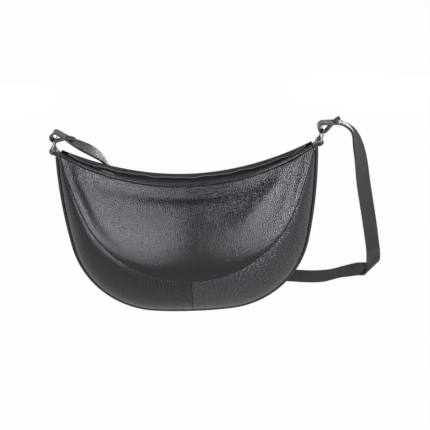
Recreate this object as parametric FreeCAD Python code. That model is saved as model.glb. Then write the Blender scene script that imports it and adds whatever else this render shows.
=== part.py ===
import FreeCAD, Part
import math
import os

V = FreeCAD.Vector
UP = V(0, 0, 1)
FRONT = -1
BACK = 1

# Frame: X to the wearer's right as seen from the front, Y to the back, Z up.
# The origin is on the floor, under the middle of the bag.

# The outer seam runs from corner to corner as three arcs on each side
SEAM_HALF_WIDTH = 172.5
SEAM_TOP = 226.5
BASE_RADIUS = 597.0
BASE_END = math.radians(5.0)
FLANK_START = math.radians(78.3)
FLANK_END = math.radians(89.6)

# The mouth is an arc, seen from the front, that sags between corners above the seam's ends
MOUTH_HEIGHT = 191.0
CORNER_INSET = 6.0
CORNER_RISE = 8.0
MOUTH_CORNER_X = SEAM_HALF_WIDTH - CORNER_INSET
MOUTH_CORNER_HEIGHT = SEAM_TOP + CORNER_RISE
MOUTH_HALF_DEPTH = 25.0
MOUTH_CORNER_HALF_DEPTH = 10.0
MOUTH_FULLNESS = 3.0

# The belly stands out most between the mouth and the seam
BELLY_HALF_DEPTH = 45.0
BELLY_CORNER_HALF_DEPTH = 11.0
BELLY_FULLNESS = 2.3
BELLY_AT = 0.56
FRONT_ROUNDNESS = 1.65
BACK_ROUNDNESS = 3.0

# The back rests on the floor behind the seam
REST_DROP = 12.0
REST_AT = 0.88
REST_SPREAD = 0.17
REST_REACH = 0.26
REST_SEAM_POWER = 40
REST_SOFTNESS = 4.0
REST_DIP = 1.22

# Leather, lining and seams
LEATHER = 1.7
LINING = 0.8
LAYER_GAP = 0.15
SEAM_GAP = 0.35
YOKE_MIDDLE = 0.70
YOKE_SIDE = 0.603
YOKE_DIP = 0.28
BEAD_RADIUS = 2.2
BEAD_FLAT = 0.5
FLANGE_DEPTH = 8.0
FLANGE_THICKNESS = 1.6
FLANGE_END = 0.9
LINING_INSET = 2.0
LINING_END = 0.92
FACING_THICKNESS = 1.3
FACING_HEIGHT = 14.0
FACING_END = 0.86

# The zip lies below the mouth edge, on an arc round the same centre
ZIP_DEPTH = 9.0
ZIP_END_INSET = 29.5
ZIP_END_X = MOUTH_CORNER_X - ZIP_END_INSET
TAPE_END = 0.84
TAPE_THICKNESS = 0.8
COIL_GAP = 1.0
COIL_WIDTH = 2.1
COIL_ABOVE = 1.1
COIL_BELOW = 1.4
STOP_LENGTH = 3.2
STOP_PROUD = 0.5

# The slider and its pull
SLIDER_LENGTH = 12.0
SLIDER_WIDTH = 9.2
SLIDER_PLATE = 1.2
SLIDER_CLEARANCE = 0.35
SLIDER_POST_LENGTH = 3.0
SLIDER_POST_WIDTH = 0.5
SLIDER_FROM_STOP = 14.0
BAIL_LENGTH = 8.0
BAIL_HEIGHT = 2.45
BAIL_WIRE = 1.2
BAIL_WIDTH = 1.6
PULL_LENGTH = 25.2
PULL_WIDTH = 8.0
PULL_NECK_WIDTH = 5.4
PULL_THICKNESS = 1.4
PULL_BAR = 1.6
PULL_WINDOW_LENGTH = 6.6
PULL_WINDOW_WIDTH = 2.6
PULL_AXIS_X = 1.6

# The rings stand in leather tabs at the top corners and lean to the right
RING_WIRE = 3.0
RING_INNER_HEIGHT = 13.0
RING_CORNER = 2.6
RING_LEAN = math.radians(16.0)
TAB_LEATHER = 2.2
TAB_LOOP_RADIUS = 2.6
TAB_STAND = 9.0
TAB_REACH = 18.0
TAB_CLEARANCE = 0.7
TOUCH = 0.3

# The strap, and the loop at each of its ends
STRAP_WIDTH = 20.0
STRAP_THICKNESS = 3.0
LOOP_RADIUS = 4.5
LOOP_RUN = 21.0
TAIL_WIDTH = 12.0
TAIL_TURN = math.radians(45.0)
TAIL_PAST_SLIT = 11.0
SLIT_CLEARANCE = 0.5

# How many points carry each curved skin
COLUMN_COUNT = 32
ROW_COUNT = 14
FINE_COUNT = 120


# Lines of the bag, seen from the front

SEAM_BOTTOM = BEAD_RADIUS - BEAD_FLAT


def seam_arcs():
    """Centre, radius, start and end angle of the base, haunch and flank arcs on the right."""
    sin_base, cos_base = math.sin(BASE_END), math.cos(BASE_END)
    sin_flank, cos_flank = math.sin(FLANK_START), math.cos(FLANK_START)
    sin_top, cos_top = math.sin(FLANK_END), math.cos(FLANK_END)
    across = SEAM_HALF_WIDTH - BASE_RADIUS * sin_base
    height = SEAM_TOP - SEAM_BOTTOM - BASE_RADIUS * (1 - cos_base)
    a, b = sin_flank - sin_base, sin_top - sin_flank
    c, d = cos_base - cos_flank, cos_flank - cos_top
    haunch = (across * d - b * height) / (a * d - b * c)
    flank = (a * height - across * c) / (a * d - b * c)
    ends = (0.0, BASE_END, FLANK_START, FLANK_END)
    arcs = []
    x, z = 0.0, SEAM_BOTTOM
    for radius, start, end in zip((BASE_RADIUS, haunch, flank), ends, ends[1:]):
        centre = (x - radius * math.sin(start), z + radius * math.cos(start))
        arcs.append((centre, radius, start, end))
        x = centre[0] + radius * math.sin(end)
        z = centre[1] - radius * math.cos(end)
    return arcs


SEAM_ARCS = seam_arcs()
SEAM_LENGTH = sum(radius * (end - start) for _, radius, start, end in SEAM_ARCS)


def seam_point(u, inset=0.0):
    """X and Z on the seam line at u, from -1 at the left corner to 1 at the right."""
    run = abs(u) * SEAM_LENGTH
    for centre, radius, start, end in SEAM_ARCS:
        angle = start + run / radius
        if angle <= end or end == FLANK_END:
            break
        run -= radius * (end - start)
    x = centre[0] + (radius - inset) * math.sin(angle)
    z = centre[1] - (radius - inset) * math.cos(angle)
    return math.copysign(x, u), z


MOUTH_SAG = MOUTH_CORNER_HEIGHT - MOUTH_HEIGHT
MOUTH_RADIUS = (MOUTH_CORNER_X**2 + MOUTH_SAG**2) / (2 * MOUTH_SAG)
MOUTH_CENTRE = MOUTH_HEIGHT + MOUTH_RADIUS
ZIP_RADIUS = MOUTH_RADIUS + ZIP_DEPTH
ZIP_ANGLE = math.asin(ZIP_END_X / ZIP_RADIUS)


def mouth_point(u):
    """X and Z on the mouth edge."""
    x = MOUTH_CORNER_X * u
    return x, MOUTH_CENTRE - math.sqrt(MOUTH_RADIUS**2 - x**2)


def share_below_mouth(u, drop, seam_inset=0.0):
    """How far from mouth to seam a point lies that is this far below the mouth edge."""
    mx, mz = mouth_point(u)
    sx, sz = seam_point(u, seam_inset)
    dx, dz = sx - mx, sz - mz
    along = mx * dx + (mz - MOUTH_CENTRE) * dz
    square = dx * dx + dz * dz
    grown = (MOUTH_RADIUS + drop) ** 2 - MOUTH_RADIUS**2
    return (math.sqrt(along**2 + square * grown) - along) / square


def yoke_share(u):
    """Where the seam between panel and band lies, from mouth to outer seam."""
    return YOKE_SIDE + (YOKE_MIDDLE - YOKE_SIDE) * math.exp(-((u / YOKE_DIP) ** 2))


# Skins of the bag. A layer is its inset from the outside, its inset from the
# outer seam line and its half gap there.

INNER_FLANGE = FLANGE_THICKNESS / 2 + LAYER_GAP
OUTSIDE = (0.0, 0.3 * BEAD_RADIUS, BEAD_RADIUS + SEAM_GAP)
INSIDE = (LEATHER, BEAD_RADIUS + SEAM_GAP, INNER_FLANGE)
FACING_DEPTH = LEATHER + LAYER_GAP
FACING_OUTER = (FACING_DEPTH, BEAD_RADIUS, INNER_FLANGE)
FACING_INNER = (FACING_DEPTH + FACING_THICKNESS, BEAD_RADIUS, INNER_FLANGE)
LINING_DEPTH = FACING_DEPTH + FACING_THICKNESS + LAYER_GAP
LINING_SEAM = FLANGE_DEPTH + LINING_INSET
LINING_OUTER = (LINING_DEPTH, LINING_SEAM, LAYER_GAP)
LINING_INNER = (LINING_DEPTH + LINING, LINING_SEAM + LINING, LAYER_GAP)


def between(corner, middle, u, power):
    return corner + (middle - corner) * (1 - abs(u) ** power)


def roundness(side):
    return FRONT_ROUNDNESS if side == FRONT else BACK_ROUNDNESS


def rest_shift(u, v):
    """How far the back settles towards the floor, behind the outer seam."""
    past = max(0.0, (v - BELLY_AT) / (1 - BELLY_AT))
    share = math.exp(-(((past - REST_AT) / REST_SPREAD) ** 2) - (u / REST_REACH) ** 2)
    share *= 1 - past**REST_SEAM_POWER
    mouth_z = mouth_point(u)[1]
    z = mouth_z + v * (seam_point(u)[1] - mouth_z)
    lowered = z - REST_DROP * share
    rested = 0.5 * (lowered + math.hypot(lowered, REST_SOFTNESS * share))
    return rested - REST_DIP * share - z


def skin_point(side, u, v, layer):
    inset, seam_inset, seam_gap = layer
    mx, mz = mouth_point(u)
    sx, sz = seam_point(u, seam_inset)
    mouth = between(MOUTH_CORNER_HALF_DEPTH, MOUTH_HALF_DEPTH, u, MOUTH_FULLNESS) - inset
    belly = between(BELLY_CORNER_HALF_DEPTH, BELLY_HALF_DEPTH, u, BELLY_FULLNESS) - inset
    if v < BELLY_AT:
        depth = mouth + (belly - mouth) * math.sin(math.pi / 2 * v / BELLY_AT)
    else:
        power = roundness(side)
        past = (v - BELLY_AT) / (1 - BELLY_AT)
        depth = seam_gap + (belly - seam_gap) * max(0.0, 1 - past**power) ** (1 / power)
    z = mz + v * (sz - mz)
    if side == BACK:
        z += rest_shift(u, v)
    return V(mx + v * (sx - mx), side * depth, z)


def skin(net):
    surface = Part.BSplineSurface()
    surface.interpolate(net)
    return surface


def sewn(faces):
    shell = Part.makeShell(faces)
    shell.sewShape()
    solid = Part.makeSolid(shell)
    if solid.Volume < 0:
        solid.reverse()
    return solid


def leaf(outer_net, inner_net):
    """A sheet between two nets of points, closed round its edges."""
    outer, inner = skin(outer_net), skin(inner_net)
    faces = [outer.toShape(), inner.toShape()]
    u0, u1, v0, v1 = outer.bounds()
    p0, p1, q0, q1 = inner.bounds()
    rims = (
        (outer.uIso(u0), inner.uIso(p0)),
        (outer.uIso(u1), inner.uIso(p1)),
        (outer.vIso(v0), inner.vIso(q0)),
        (outer.vIso(v1), inner.vIso(q1)),
    )
    for outer_rim, inner_rim in rims:
        faces.append(Part.makeRuledSurface(outer_rim.toShape(), inner_rim.toShape()))
    return sewn(faces)


def steps(start, end, count):
    return [start + (end - start) * i / count for i in range(count + 1)]


def profile(side, u, ends, layer):
    """Points at even distances down the bag's side, between two shares from mouth to seam."""
    power = roundness(side)
    first, last = ends
    shares = [share for share in steps(0.0, BELLY_AT, FINE_COUNT) if share < BELLY_AT]
    for turn in steps(0.0, math.pi / 2, FINE_COUNT):
        shares.append(BELLY_AT + (1 - BELLY_AT) * math.sin(turn) ** (2 / power))
    shares = [first] + [share for share in shares if first < share < last] + [last]
    points = [skin_point(side, u, share, layer) for share in shares]
    runs = [0.0]
    for p, q in zip(points, points[1:]):
        runs.append(runs[-1] + (q - p).Length)
    even = [points[0]]
    i = 0
    for run in steps(0.0, runs[-1], ROW_COUNT)[1:-1]:
        while runs[i + 1] < run:
            i += 1
        part = (run - runs[i]) / (runs[i + 1] - runs[i])
        even.append(points[i] + (points[i + 1] - points[i]) * part)
    return even + [points[-1]]


def sheet(side, ends, outer, inner, shares, along=COLUMN_COUNT):
    """A sheet of the bag's side between two values of u; shares gives its rims at each u."""
    stations = steps(ends[0], ends[1], along)
    nets = [[profile(side, u, shares(u), layer) for u in stations] for layer in (outer, inner)]
    return leaf(*nets)


def seam_gap_share(u):
    mx, mz = mouth_point(u)
    sx, sz = seam_point(u)
    return SEAM_GAP / 2 / math.hypot(sx - mx, sz - mz)


def panel_shares(u):
    return 0.0, yoke_share(u) - seam_gap_share(u)


def band_shares(u):
    return yoke_share(u) + seam_gap_share(u), 1.0


def facing_shares(u):
    return 0.0, share_below_mouth(u, FACING_HEIGHT)


def lining_shares(u):
    return share_below_mouth(u, FACING_HEIGHT + LAYER_GAP, LINING_SEAM), 1.0


# Leather sides

front_panel = sheet(FRONT, (-1.0, 1.0), OUTSIDE, INSIDE, panel_shares)
back_panel = sheet(BACK, (-1.0, 1.0), OUTSIDE, INSIDE, panel_shares)
MIDDLE_GAP = SEAM_GAP / 2 / SEAM_LENGTH


def band(side, ends):
    return sheet(side, ends, OUTSIDE, INSIDE, band_shares, COLUMN_COUNT // 2)


def mouth_facing(side):
    return sheet(side, (-FACING_END, FACING_END), FACING_OUTER, FACING_INNER, facing_shares)


def lining(side):
    return sheet(side, (-LINING_END, LINING_END), LINING_OUTER, LINING_INNER, lining_shares)


# Piping in the outer seam


def seam_edges(inset, end):
    """The seam line's arcs from the left to the right, at an inset, as far as u = end."""
    right = []
    left = SEAM_LENGTH * end
    for centre, radius, start, stop in SEAM_ARCS:
        stop = min(stop, start + left / radius)
        left -= radius * (stop - start)
        points = []
        for angle in steps(start, stop, 2):
            x = centre[0] + (radius - inset) * math.sin(angle)
            z = centre[1] - (radius - inset) * math.cos(angle)
            points.append(V(x, 0, z))
        right.append(points)
        if left < 1e-6:
            break
    mirrored = [[V(-p.x, 0, p.z) for p in reversed(points)] for points in reversed(right)]
    return [Part.Arc(*points).toShape() for points in mirrored + right]


def piping():
    line = Part.Wire(seam_edges(0.0, 1.0))
    start = line.Edges[0]
    point = start.valueAt(start.FirstParameter)
    tangent = start.tangentAt(start.FirstParameter)
    section = Part.Wire(Part.makeCircle(BEAD_RADIUS, point, tangent))
    bead = line.makePipeShell([section], True, True)
    outer = Part.Wire(seam_edges(0.0, FLANGE_END))
    inner = Part.Wire(seam_edges(FLANGE_DEPTH, FLANGE_END))
    ends = [(w.Edges[0].firstVertex().Point, w.Edges[-1].lastVertex().Point) for w in (outer, inner)]
    sides = [Part.makeLine(ends[0][i], ends[1][i]) for i in (0, 1)]
    rim = Part.Wire(Part.__sortEdges__(outer.Edges + inner.Edges + sides))
    flange = Part.Face(rim).extrude(V(0, FLANGE_THICKNESS, 0))
    flange.translate(V(0, -FLANGE_THICKNESS / 2, 0))
    size = 2 * SEAM_HALF_WIDTH
    floor = Part.makeBox(2 * size, 2 * size, size, V(-size, -size, -size))
    return bead.fuse(flange).removeSplitter().cut(floor)


# Zip


def zip_point(angle, radius, y):
    return V(radius * math.sin(angle), y, MOUTH_CENTRE - radius * math.cos(angle))


def arc_bar(start, end, top, bottom, y0, y1):
    """A bar that follows the zip's arc between two radii."""
    upper = Part.Arc(*[zip_point(a, top, y0) for a in steps(start, end, 2)]).toShape()
    lower = Part.Arc(*[zip_point(a, bottom, y0) for a in steps(start, end, 2)]).toShape()
    ends = [Part.makeLine(zip_point(a, top, y0), zip_point(a, bottom, y0)) for a in (start, end)]
    rim = Part.Wire(Part.__sortEdges__([upper, lower] + ends))
    return Part.Face(rim).extrude(V(0, y1 - y0, 0))


COIL_INNER = COIL_GAP / 2
COIL_OUTER = COIL_INNER + COIL_WIDTH
COIL_TOP = ZIP_RADIUS - COIL_ABOVE
COIL_BOTTOM = ZIP_RADIUS + COIL_BELOW
STOP_ANGLE = STOP_LENGTH / ZIP_RADIUS
END_GAP = LAYER_GAP / ZIP_RADIUS


def zip_tape(side):
    layer = (FACING_INNER[0] + LAYER_GAP, *FACING_INNER[1:])
    nets = [[], []]
    for u in steps(-TAPE_END, TAPE_END, COLUMN_COUNT):
        edge = skin_point(side, u, share_below_mouth(u, ZIP_DEPTH), layer)
        inner = zip_point(math.asin(edge.x / ZIP_RADIUS), ZIP_RADIUS, side * (COIL_OUTER + LAYER_GAP))
        row = [edge + (inner - edge) * share for share in steps(0.0, 1.0, 3)]
        nets[0].append(row)
        nets[1].append([p - UP * TAPE_THICKNESS for p in row])
    return leaf(*nets)


def zip_coil(side):
    ys = sorted((side * COIL_INNER, side * COIL_OUTER))
    return arc_bar(-ZIP_ANGLE, ZIP_ANGLE, COIL_TOP, COIL_BOTTOM, *ys)


def zip_stops():
    """A stop on each coil at the left, where the zip is closed, and one across both at the right."""
    top, bottom = COIL_TOP - STOP_PROUD, COIL_BOTTOM + STOP_PROUD
    first = ZIP_ANGLE + END_GAP
    last = first + STOP_ANGLE
    pieces = [arc_bar(first, last, top, bottom, -COIL_OUTER, COIL_OUTER)]
    for y0, y1 in ((-COIL_OUTER, -COIL_INNER), (COIL_INNER, COIL_OUTER)):
        pieces.append(arc_bar(-last, -first, top, bottom, y0, y1))
    return Part.Compound(pieces)


# The slider is drawn at the lowest point of the arc, then carried along it to its rest place
SLIDER_ANGLE = -ZIP_ANGLE + SLIDER_FROM_STOP / ZIP_RADIUS
SLIDER_TOP = COIL_ABOVE + SLIDER_CLEARANCE + SLIDER_PLATE
PULL_AXIS_Z = SLIDER_TOP + BAIL_HEIGHT / 2


def carried(shape):
    shape.translate(V(0, 0, MOUTH_CENTRE - ZIP_RADIUS))
    shape.rotate(V(0, 0, MOUTH_CENTRE), V(0, -1, 0), math.degrees(SLIDER_ANGLE))
    return shape


def block(x0, x1, width, z0, z1):
    return Part.makeBox(x1 - x0, width, z1 - z0, V(x0, -width / 2, z0))


def zip_slider():
    half = SLIDER_LENGTH / 2
    under = -COIL_BELOW - SLIDER_CLEARANCE
    upper = block(-half, half, SLIDER_WIDTH, SLIDER_TOP - SLIDER_PLATE, SLIDER_TOP)
    lower = block(-half, half, SLIDER_WIDTH, under - SLIDER_PLATE, under)
    corners = [e for e in upper.Edges if abs(e.tangentAt(e.FirstParameter).z) > 0.9]
    upper = upper.makeFillet(SLIDER_WIDTH / 4, corners)
    corners = [e for e in lower.Edges if abs(e.tangentAt(e.FirstParameter).z) > 0.9]
    lower = lower.makeFillet(SLIDER_WIDTH / 4, corners)
    middle = SLIDER_LENGTH / 4
    post_start = -middle - SLIDER_POST_LENGTH / 2
    post_end = post_start + SLIDER_POST_LENGTH
    post_foot, post_head = under - SLIDER_PLATE / 2, SLIDER_TOP - SLIDER_PLATE / 2
    post = block(post_start, post_end, SLIDER_POST_WIDTH, post_foot, post_head)
    crown = SLIDER_TOP + BAIL_HEIGHT + BAIL_WIRE
    bail = block(-BAIL_LENGTH / 2, BAIL_LENGTH / 2, BAIL_WIDTH, SLIDER_TOP - SLIDER_PLATE / 2, crown)
    tops = [e for e in bail.Edges if e.CenterOfMass.z > crown - 0.01 and abs(e.CenterOfMass.x) > BAIL_WIRE]
    bail = bail.makeFillet(BAIL_WIRE, tops)
    inner = BAIL_LENGTH / 2 - BAIL_WIRE
    bail = bail.cut(block(-inner, inner, SLIDER_WIDTH, SLIDER_TOP, SLIDER_TOP + BAIL_HEIGHT))
    return carried(upper.multiFuse([lower, post, bail]).removeSplitter())


def zip_pull():
    """A flat pull whose round end bar lies under the slider's bail."""
    start = PULL_AXIS_X
    end = start + PULL_LENGTH
    neck, wide = PULL_NECK_WIDTH / 2, PULL_WIDTH / 2
    far = end - wide
    z = PULL_AXIS_Z - PULL_THICKNESS / 2
    corners = (V(far, wide, z), V(start, neck, z), V(start, -neck, z), V(far, -wide, z))
    rim = [Part.makeLine(p, q) for p, q in zip(corners, corners[1:])]
    rim.append(Part.Arc(corners[-1], V(end, 0, z), corners[0]).toShape())
    plate = Part.Face(Part.Wire(rim)).extrude(UP * PULL_THICKNESS)
    bar = Part.makeCylinder(PULL_BAR / 2, PULL_NECK_WIDTH, V(start, -neck, PULL_AXIS_Z), V(0, 1, 0))
    window = PULL_AXIS_X + PULL_BAR / 2
    over = PULL_THICKNESS
    hole = block(window, window + PULL_WINDOW_LENGTH, PULL_WINDOW_WIDTH, z - over, z + 2 * over)
    return carried(plate.fuse(bar).cut(hole).removeSplitter())


# Tabs and rings at the top corners

SEAM_CORNER = seam_point(1.0)
CORNER_MIDDLE = V((SEAM_CORNER[0] + MOUTH_CORNER_X) / 2, 0, (SEAM_CORNER[1] + MOUTH_CORNER_HEIGHT) / 2)
CORNER_LINE = V(SEAM_CORNER[0] - MOUTH_CORNER_X, 0, SEAM_CORNER[1] - MOUTH_CORNER_HEIGHT).normalize()
TAB_OUT = V(-CORNER_LINE.z, 0, CORNER_LINE.x)
TAB_CENTRE = CORNER_MIDDLE + TAB_OUT * TAB_STAND
TAB_WIDTH = 2 * (MOUTH_CORNER_HALF_DEPTH - LEATHER - TAB_CLEARANCE)
RING_PIVOT = TAB_CENTRE + UP * (TAB_LOOP_RADIUS - RING_WIRE / 2 - TOUCH)


def mirrored(point):
    return V(-point.x, point.y, point.z)


def ring_tab():
    """A strip folded into a loop, with both its ends sewn between front and back."""
    ring = TAB_LOOP_RADIUS + TAB_LEATHER
    start = TAB_CENTRE - V(0, TAB_WIDTH / 2, 0)
    loop = Part.makeCylinder(ring, TAB_WIDTH, start, V(0, 1, 0))
    side = CORNER_LINE * TAB_LEATHER
    near = TAB_CENTRE - TAB_OUT * TAB_LOOP_RADIUS
    far = CORNER_MIDDLE - TAB_OUT * TAB_REACH
    rim = Part.makePolygon([near + side, near - side, far - side, far + side, near + side])
    rim.translate(V(0, -TAB_WIDTH / 2, 0))
    legs = Part.Face(rim).extrude(V(0, TAB_WIDTH, 0))
    hole = Part.makeCylinder(TAB_LOOP_RADIUS, TAB_WIDTH, start, V(0, 1, 0))
    return loop.fuse(legs).cut(hole).removeSplitter()


RING_RISE = RING_INNER_HEIGHT + RING_WIRE
RING_HALF = STRAP_WIDTH / 2 + TOUCH + RING_CORNER
RING_AXIS = V(math.sin(RING_LEAN), 0, math.cos(RING_LEAN))


def ring(pivot):
    """A wire bent to a rectangle with round corners, with its lower bar in the tab."""
    half, bend = RING_HALF, RING_CORNER
    slant = bend * (1 - math.sqrt(0.5))
    across, up = V(0, 1, 0), RING_AXIS
    corners = ((-half, 0, 1, 1), (half, 0, -1, 1), (half, RING_RISE, -1, -1), (-half, RING_RISE, 1, -1))
    bends = []
    for y, rise, inward, upward in corners:
        base = pivot + across * y + up * rise
        foot = base + across * (inward * bend)
        side = base + up * (upward * bend)
        middle = base + across * (inward * slant) + up * (upward * slant)
        bends.append((foot, middle, side))
    edges = [Part.Arc(*points).toShape() for points in bends]
    edges.append(Part.makeLine(bends[0][0], bends[1][0]))
    edges.append(Part.makeLine(bends[1][2], bends[2][2]))
    edges.append(Part.makeLine(bends[2][0], bends[3][0]))
    edges.append(Part.makeLine(bends[3][2], bends[0][2]))
    line = Part.Wire(Part.__sortEdges__(edges))
    first = line.Edges[0]
    section = Part.makeCircle(
        RING_WIRE / 2, first.valueAt(first.FirstParameter), first.tangentAt(first.FirstParameter)
    )
    return line.makePipeShell([Part.Wire(section)], True, True)


# Strap

STRAP_HALF = STRAP_THICKNESS / 2
LOOP_LINE = LOOP_RADIUS + STRAP_HALF


def loop_centre(pivot):
    bar = pivot + RING_AXIS * RING_RISE
    return bar + UP * (LOOP_RADIUS - RING_WIRE / 2 - TOUCH)


def ribbon_end(centre):
    """The strap's end: over the ring's bar, round it, and up through the strap's own slit."""
    inner, outer = LOOP_LINE - STRAP_HALF, LOOP_LINE + STRAP_HALF

    def on(radius, angle):
        return centre + V(radius * math.cos(angle), 0, radius * math.sin(angle))

    top = math.pi / 2
    bottom = -math.pi / 2 + TAIL_TURN
    middle = math.pi + (bottom + math.pi / 2) / 2
    rim = [Part.Arc(on(outer, top), on(outer, middle), on(outer, bottom)).toShape()]
    rim.append(Part.makeLine(on(outer, bottom), on(inner, bottom)))
    rim.append(Part.Arc(on(inner, bottom), on(inner, middle), on(inner, top)).toShape())
    run = V(LOOP_RUN, 0, 0)
    rim.append(Part.makeLine(on(inner, top), on(inner, top) + run))
    rim.append(Part.makeLine(on(inner, top) + run, on(outer, top) + run))
    rim.append(Part.makeLine(on(outer, top) + run, on(outer, top)))
    loop = Part.Face(Part.Wire(rim)).extrude(V(0, STRAP_WIDTH, 0))
    loop.translate(V(0, -STRAP_WIDTH / 2, 0))
    along = V(math.cos(TAIL_TURN), 0, math.sin(TAIL_TURN))
    foot = on(LOOP_LINE, bottom)
    to_slit = (LOOP_LINE - (foot - centre).z) / along.z

    def tail(start, end, half, width):
        across = V(along.z, 0, -along.x) * half
        points = [start + across, end + across, end - across, start - across, start + across]
        piece = Part.Face(Part.makePolygon(points)).extrude(V(0, width, 0))
        piece.translate(V(0, -width / 2, 0))
        return piece

    tip = foot + along * (to_slit + TAIL_PAST_SLIT)
    past = along * STRAP_THICKNESS * 2
    slit_place = foot + along * to_slit
    slit_half, slit_width = STRAP_HALF + SLIT_CLEARANCE, TAIL_WIDTH + 2 * SLIT_CLEARANCE
    slit = tail(slit_place - past, slit_place + past, slit_half, slit_width)
    return loop.cut(slit).fuse(tail(foot, tip, STRAP_HALF, TAIL_WIDTH)).removeSplitter()


RIGHT_LOOP = loop_centre(RING_PIVOT)
LEFT_LOOP = loop_centre(mirrored(RING_PIVOT))
RIGHT_START = RIGHT_LOOP + V(LOOP_RUN, 0, LOOP_LINE)

# The left end hangs over to the right with the weight of the strap
LEFT_DROOP = 35.0


def drooped(offset):
    """An offset from the middle of the left loop, turned down with it."""
    turn = math.radians(LEFT_DROOP)
    aside = offset.x * math.cos(turn) + offset.z * math.sin(turn)
    return V(aside, offset.y, offset.z * math.cos(turn) - offset.x * math.sin(turn))


LEFT_END = LEFT_LOOP + drooped(V(LOOP_RUN, 0, LOOP_LINE))

# The strap folds over a slanting roll where it reaches the floor, and turns to the left
FOLD_ASIDE = 60.0
FOLD_BEHIND = 53.0
FOLD_HEIGHT = 42.3
FOLD_RADIUS = 7.0
FOLD_DOWN = 16.0
FOLD_STEP_COUNT = 4
FOLD_START = V(RIGHT_START.x + FOLD_ASIDE, BELLY_HALF_DEPTH + FOLD_BEHIND, FOLD_HEIGHT)


def on_the_way(start, end, across, behind, height):
    """A point of the strap, by its shares of the way across, behind and up from start to end."""
    between_ends = end - start
    return start + V(between_ends.x * across, between_ends.y * behind, between_ends.z * height)


# The way down from the right ring: shares of the way, and the way the broad side is laid
STRAP_DOWN = (
    ((0.159, 0.02, 0.021), V(0.05, 1, 0)),
    ((0.308, 0.071, 0.066), V(0.25, 1, 0)),
    ((0.423, 0.153, 0.142), V(0.55, 0.85, 0)),
    ((0.522, 0.276, 0.241), V(0.75, 0.7, 0)),
    ((0.637, 0.49, 0.425), V(0.92, 0.42, 0)),
    ((0.769, 0.704, 0.623), V(0.97, 0.3, 0)),
    ((0.901, 0.888, 0.822), V(1, 0.2, 0)),
)

# Along the floor on its edge, then up behind the bag to the left ring
STRAP_BACK = (
    ((0.0749, -0.112, -0.1558), V(0, -0.25, 1)),
    ((0.1088, -0.061, -0.1563), V(0, -0.4, 1)),
    ((0.1419, 0.02, -0.1568), V(0, -0.45, 1)),
    ((0.1757, 0.082, -0.1563), V(0, -0.3, 1)),
    ((0.2188, 0.092, -0.1558), V(0, -0.25, 1)),
    ((0.2726, 0.041, -0.1558), V(0, -0.25, 1)),
    ((0.3348, -0.031, -0.1558), V(0, -0.22, 1)),
    ((0.4027, -0.082, -0.1558), V(0, -0.22, 1)),
    ((0.4745, -0.112, -0.1553), V(0.05, -0.25, 1)),
    ((0.5426, -0.112, -0.1427), V(0.12, -0.28, 1)),
    ((0.6096, -0.092, -0.0989), V(0.25, -0.32, 0.9)),
    ((0.6724, -0.051, -0.0209), V(0.42, -0.4, 0.8)),
    ((0.7304, 0.02, 0.1042), V(0.52, -0.5, 0.66)),
    ((0.7809, 0.133, 0.2664), V(0.55, -0.62, 0.5)),
    ((0.8196, 0.276, 0.4319), V(0.52, -0.72, 0.4)),
    ((0.851, 0.408, 0.5732), V(0.48, -0.8, 0.34)),
    ((0.8764, 0.533, 0.6998), V(0.4, -0.87, 0.26)),
    ((0.9006, 0.653, 0.8118), V(0.2, -0.98, 0.05)),
    ((0.9283, 0.781, 0.8946), V(0.08, -1, -0.04)),
    ((0.9622, 0.914, 0.9501), V(0.02, -1, -0.02)),
)


# Each long side of the strap is made up of spans of a few stations
SPAN_STATION_COUNT = 4
SAME_WAY = 1


def strap_fold():
    """Half a turn round an axis that rises to the right, at 45 degrees to the strap."""
    axis = V(1, 0, 1).normalize()
    out, down = V(0, -1, 0), V(1, 0, -1).normalize()
    core = FOLD_START - out * FOLD_RADIUS - UP * FOLD_DOWN
    stations = []
    for turn in steps(0.0, math.pi, FOLD_STEP_COUNT):
        radial = out * math.cos(turn) + down * math.sin(turn)
        onward = down * math.cos(turn) - out * math.sin(turn)
        point = core - axis * (FOLD_RADIUS * turn) + radial * FOLD_RADIUS
        stations.append((point, axis + onward))
    return stations


def rail(points, lengths):
    """A smooth line through points that are reached at the given lengths along the strap."""
    curve = Part.BSplineCurve()
    curve.interpolate(Points=points, Parameters=lengths)
    return curve


def span(curve, start, end):
    piece = curve.copy()
    piece.segment(start, end)
    return piece.toShape()


def ribbon(stations):
    """The long sides of a flat strip through stations of a point and a broad side."""
    points = [p for p, _ in stations]
    lengths = [0.0]
    for p, q in zip(points, points[1:]):
        lengths.append(lengths[-1] + (q - p).Length)
    rails = [[], [], [], []]
    last = len(points) - 1
    for i, (point, side) in enumerate(stations):
        ahead = (points[min(i + 1, last)] - points[max(i - 1, 0)]).normalize()
        broad = (side - ahead * side.dot(ahead)).normalize()
        thick = ahead.cross(broad) * STRAP_HALF
        broad = broad * (STRAP_WIDTH / 2)
        for line, corner in zip(rails, (broad + thick, thick - broad, -broad - thick, broad - thick)):
            line.append(point + corner)
    curves = [rail(line, lengths) for line in rails]
    breaks = lengths[:-1:SPAN_STATION_COUNT] + lengths[-1:]
    faces = []
    for start, end in zip(breaks, breaks[1:]):
        edges = [span(curve, start, end) for curve in curves]
        faces += [Part.makeRuledSurface(edges[i], edges[(i + 1) % 4], SAME_WAY) for i in range(4)]
    return faces


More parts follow.
